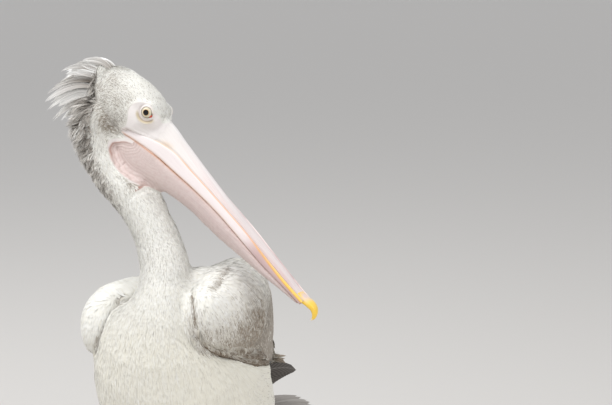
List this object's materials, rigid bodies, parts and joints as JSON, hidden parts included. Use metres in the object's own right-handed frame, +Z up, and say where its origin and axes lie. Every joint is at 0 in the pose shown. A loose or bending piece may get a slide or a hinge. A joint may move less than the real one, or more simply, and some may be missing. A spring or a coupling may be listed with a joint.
{
  "type": "pelican",
  "caption": "Life-size standing pelican at rest, head turned to its left with the long bill held down across the shoulder.",
  "frame": {"origin": "on the floor, under the middle of the whole bird's box", "axes": "+Z up, the trunk faces -Y, the bird's left side is +X, and the bill points towards +X and down"},
  "size_m": [0.4142, 0.5474, 0.7335],
  "materials": {
    "plumage": "matte off-white feathers",
    "flight_feather": "matte dark brown vanes with paler shafts",
    "crest_feather": "soft grey-brown tufts with pale tips",
    "face_skin": "bare finely wrinkled pale skin",
    "bill_horn": "satin pale pink horn with fine lengthwise lines",
    "nail_horn": "satin yellow-orange horn",
    "pouch_skin": "soft wrinkled mauve-pink skin",
    "leg_skin": "scaly grey-brown skin",
    "claw_horn": "dark horn",
    "eye": "wet cream iris round a black pupil"
  },
  "bodies": {
    "root": {"trunk": "plumage", "upper_bill": "bill_horn", "bill_nail": "nail_horn", "lower_bill": "bill_horn", "pouch": "pouch_skin", "head": "plumage", "eye_left": "eye", "eye_right": "eye", "neck_upper": "plumage", "neck_lower": "plumage", "crest": "crest_feather", "mane": "crest_feather", "wing_left": "plumage", "primaries_left": "flight_feather", "wing_right": "plumage", "primaries_right": "flight_feather", "tail": "flight_feather", "thigh_left": "plumage", "shank_left": "leg_skin", "foot_left": "leg_skin", "claw_left_1": "claw_horn", "claw_left_2": "claw_horn", "claw_left_3": "claw_horn", "claw_left_4": "claw_horn", "thigh_right": "plumage", "shank_right": "leg_skin", "foot_right": "leg_skin", "claw_right_1": "claw_horn", "claw_right_2": "claw_horn", "claw_right_3": "claw_horn", "claw_right_4": "claw_horn"}
  },
  "joints": []
}
